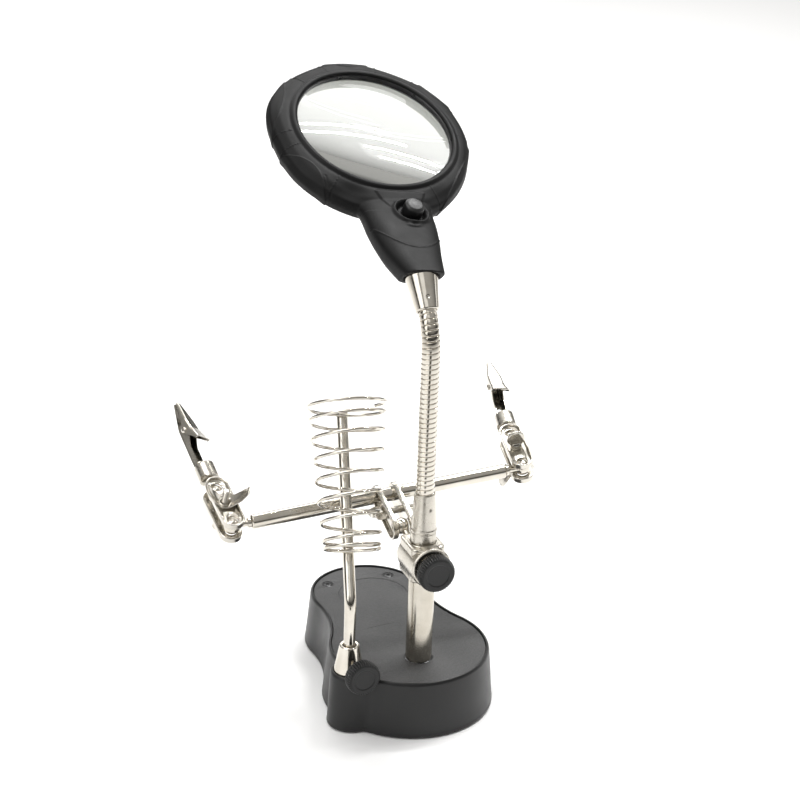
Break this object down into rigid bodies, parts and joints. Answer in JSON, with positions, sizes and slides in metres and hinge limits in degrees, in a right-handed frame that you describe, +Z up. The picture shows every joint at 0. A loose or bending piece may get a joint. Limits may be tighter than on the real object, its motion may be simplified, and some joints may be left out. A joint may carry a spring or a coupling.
{
  "type": "helping hands clamp",
  "caption": "Weighted bench stand with ball-jointed arms ending in alligator clips, a spring rest for a soldering iron and a lit magnifier on a flexible neck",
  "frame": {"origin": "centre of the base, on the surface it stands on, at the middle rubber foot", "axes": "+Z up, +Y from the post to the back lobe of the base, +X to the user's right along the cross rod"},
  "size_m": [0.2013, 0.2108, 0.3244],
  "materials": {
    "nickel_plate": "bright nickel plate",
    "steel": "zinc plated steel",
    "black_plastic": "fine grained black moulding",
    "deck_plastic": "spark textured dark grey",
    "knob_plastic": "black knurled plastic",
    "rubber": "soft black rubber",
    "iron": "raw cast iron",
    "lens_glass": "clear ground glass",
    "bush_plastic": "nylon bush",
    "board": "white coated board",
    "cell": "plain wrapped cell"
  },
  "bodies": {
    "stand": {"base_shell": "black_plastic", "deck_panel": "deck_plastic", "deck_screws": "nickel_plate", "ballast": "iron", "bottom_cover": "black_plastic", "rubber_feet": "rubber", "cover_screws": "steel", "battery_tray": "black_plastic", "battery_cells": "cell", "post": "nickel_plate", "post_nut": "steel", "neck_lower_ferrule": "nickel_plate", "gooseneck_1": "nickel_plate", "iron_socket": "nickel_plate", "iron_socket_screw": "steel"},
    "battery_door": {"battery_door": "black_plastic"},
    "block_bush": {"block_bush": "bush_plastic"},
    "post_block": {"post_block": "nickel_plate"},
    "block_knob": {"block_knob": "knob_plastic", "block_screw": "nickel_plate"},
    "ball_stud": {"ball_stud": "nickel_plate"},
    "mid_clamp": {"mid_clamp_plates": "nickel_plate", "mid_clamp_bolt": "nickel_plate"},
    "mid_wing_nut": {"mid_wing_nut": "nickel_plate"},
    "cross_rod": {"cross_rod": "nickel_plate"},
    "left_rod_ball": {"left_rod_ball": "nickel_plate"},
    "left_clamp": {"left_clamp_plates": "nickel_plate", "left_clamp_bolt": "nickel_plate"},
    "left_wing_nut": {"left_wing_nut": "nickel_plate"},
    "left_clip_ball": {"left_clip_ball": "nickel_plate"},
    "left_clip": {"left_clip_barrel": "nickel_plate", "left_lower_jaw": "nickel_plate", "left_jaw_rivet": "nickel_plate", "left_jaw_spring": "steel"},
    "left_upper_jaw": {"left_upper_jaw": "nickel_plate"},
    "right_rod_ball": {"right_rod_ball": "nickel_plate"},
    "right_clamp": {"right_clamp_plates": "nickel_plate", "right_clamp_bolt": "nickel_plate"},
    "right_wing_nut": {"right_wing_nut": "nickel_plate"},
    "right_clip_ball": {"right_clip_ball": "nickel_plate"},
    "right_clip": {"right_clip_barrel": "nickel_plate", "right_lower_jaw": "nickel_plate", "right_jaw_rivet": "nickel_plate", "right_jaw_spring": "steel"},
    "right_upper_jaw": {"right_upper_jaw": "nickel_plate"},
    "iron_holder": {"iron_rod": "nickel_plate", "iron_coil": "nickel_plate"},
    "iron_knob": {"iron_knob": "knob_plastic"},
    "neck_low": {"gooseneck_2": "nickel_plate"},
    "neck_mid": {"gooseneck_3": "nickel_plate"},
    "magnifier": {"gooseneck_4": "nickel_plate", "neck_upper_ferrule": "nickel_plate", "head_front_shell": "black_plastic", "head_rear_shell": "black_plastic", "lens": "lens_glass", "lens_ring": "black_plastic", "switch_body": "black_plastic", "lamp_board": "board", "head_screws": "steel"},
    "switch_button": {"switch_button": "knob_plastic"}
  },
  "joints": [
    {"name": "battery_door_hinge", "type": "hinge", "parent": "stand", "child": "battery_door", "pos_m": [0, 0.045, 0.002], "axis": [1, 0, 0], "range_deg": [0, 95]},
    {"name": "block_slide", "type": "slide", "parent": "stand", "child": "block_bush", "axis": [0, 0, 1], "range_m": [-0.045, 0]},
    {"name": "block_swivel", "type": "hinge", "parent": "block_bush", "child": "post_block", "pos_m": [0, -0.041, 0.093], "axis": [0, 0, 1], "range_deg": [-180, 4]},
    {"name": "block_knob_turn", "type": "hinge", "parent": "post_block", "child": "block_knob", "pos_m": [0, -0.0574, 0.093], "axis": [0, -1, 0], "continuous": true},
    {"name": "ball_stud_roll", "type": "hinge", "parent": "post_block", "child": "ball_stud", "pos_m": [-0.001, -0.03, 0.096], "axis": [-0.2361, 0.8262, 0.5115], "range_deg": [-25, 4]},
    {"name": "mid_clamp_swing", "type": "hinge", "parent": "ball_stud", "child": "mid_clamp", "pos_m": [-0.004, -0.0195, 0.1025], "axis": [0.9977, 0, 0.0671], "range_deg": [-40, 10]},
    {"name": "mid_wing_nut_turn", "type": "hinge", "parent": "mid_clamp", "child": "mid_wing_nut", "pos_m": [-0.00429, -0.00825, 0.10681], "axis": [0.9977, 0, 0.0671], "continuous": true},
    {"name": "rod_slide", "type": "slide", "parent": "mid_clamp", "child": "cross_rod", "axis": [0.9977, 0, 0.0671], "range_m": [-0.02, 0.02]},
    {"name": "left_rod_ball_roll", "type": "hinge", "parent": "cross_rod", "child": "left_rod_ball", "pos_m": [-0.09361, 0.003, 0.10513], "axis": [0.9977, 0, 0.0671], "range_deg": [-45, 45]},
    {"name": "left_clamp_swing", "type": "hinge", "parent": "left_rod_ball", "child": "left_clamp", "pos_m": [-0.09361, 0.003, 0.10513], "axis": [0.046, -0.3353, 0.941], "range_deg": [-30, 30]},
    {"name": "left_wing_nut_turn", "type": "hinge", "parent": "left_clamp", "child": "left_wing_nut", "pos_m": [-0.09446, 0.01521, 0.10952], "axis": [0.046, -0.3353, 0.941], "continuous": true},
    {"name": "left_clip_swing", "type": "hinge", "parent": "left_clamp", "child": "left_clip_ball", "pos_m": [-0.09532, 0.02741, 0.11392], "axis": [0.046, -0.3353, 0.941], "range_deg": [-50, 50]},
    {"name": "left_clip_turn", "type": "hinge", "parent": "left_clip_ball", "child": "left_clip", "pos_m": [-0.09532, 0.02741, 0.11392], "axis": [-0.1066, 0.8548, 0.5079], "continuous": true},
    {"name": "left_jaw_open", "type": "hinge", "parent": "left_clip", "child": "left_upper_jaw", "pos_m": [-0.0999, 0.06417, 0.13575], "axis": [0.7394, 0.4096, -0.5343], "range_deg": [0, 25], "stiffness_Nm_per_rad": 0.06, "springref_deg": -34.38},
    {"name": "right_rod_ball_roll", "type": "hinge", "parent": "cross_rod", "child": "right_rod_ball", "pos_m": [0.07781, 0.003, 0.11667], "axis": [0.9977, 0, 0.0671], "range_deg": [-45, 45]},
    {"name": "right_clamp_swing", "type": "hinge", "parent": "right_rod_ball", "child": "right_clamp", "pos_m": [0.07781, 0.003, 0.11667], "axis": [-0.185, -0.21, 0.96], "range_deg": [-30, 30]},
    {"name": "right_wing_nut_turn", "type": "hinge", "parent": "right_clamp", "child": "right_wing_nut", "pos_m": [0.07967, 0.01549, 0.11976], "axis": [-0.185, -0.21, 0.96], "continuous": true},
    {"name": "right_clip_swing", "type": "hinge", "parent": "right_clamp", "child": "right_clip_ball", "pos_m": [0.08154, 0.02798, 0.12285], "axis": [-0.185, -0.21, 0.96], "range_deg": [-50, 50]},
    {"name": "right_clip_turn", "type": "hinge", "parent": "right_clip_ball", "child": "right_clip", "pos_m": [0.08154, 0.02798, 0.12285], "axis": [0.1606, 0.9109, 0.3801], "continuous": true},
    {"name": "right_jaw_open", "type": "hinge", "parent": "right_clip", "child": "right_upper_jaw", "pos_m": [0.08845, 0.06714, 0.1392], "axis": [0.9868, -0.1553, -0.0449], "range_deg": [0, 25], "stiffness_Nm_per_rad": 0.06, "springref_deg": -34.38},
    {"name": "iron_holder_turn", "type": "hinge", "parent": "stand", "child": "iron_holder", "pos_m": [-0.0415, -0.043, 0.04], "axis": [0, 0, 1], "range_deg": [-20, 20]},
    {"name": "iron_knob_turn", "type": "hinge", "parent": "stand", "child": "iron_knob", "pos_m": [-0.04058, -0.05837, 0.03762], "axis": [0.0599, -0.9982, 0], "continuous": true},
    {"name": "neck_side_bend", "type": "hinge", "parent": "stand", "child": "neck_low", "pos_m": [0, -0.041, 0.143], "axis": [0, 1, 0], "range_deg": [-25, 25]},
    {"name": "neck_low_bend", "type": "hinge", "parent": "neck_low", "child": "neck_mid", "pos_m": [0, -0.041, 0.166], "axis": [0.9981, -0.061, 0], "range_deg": [-15, 35]},
    {"name": "neck_high_bend", "type": "hinge", "parent": "neck_mid", "child": "magnifier", "pos_m": [0, -0.041, 0.194], "axis": [0.9981, -0.061, 0], "range_deg": [-15, 35]},
    {"name": "lamp_button_press", "type": "slide", "parent": "magnifier", "child": "switch_button", "axis": [-0.088, 0.4689, -0.8788], "range_m": [0, 0.0012], "stiffness_N_per_m": 300, "springref_m": -0.002}
  ],
  "couplings": [
    {"joint": "neck_high_bend", "follows": "neck_low_bend", "ratio": 1}
  ]
}
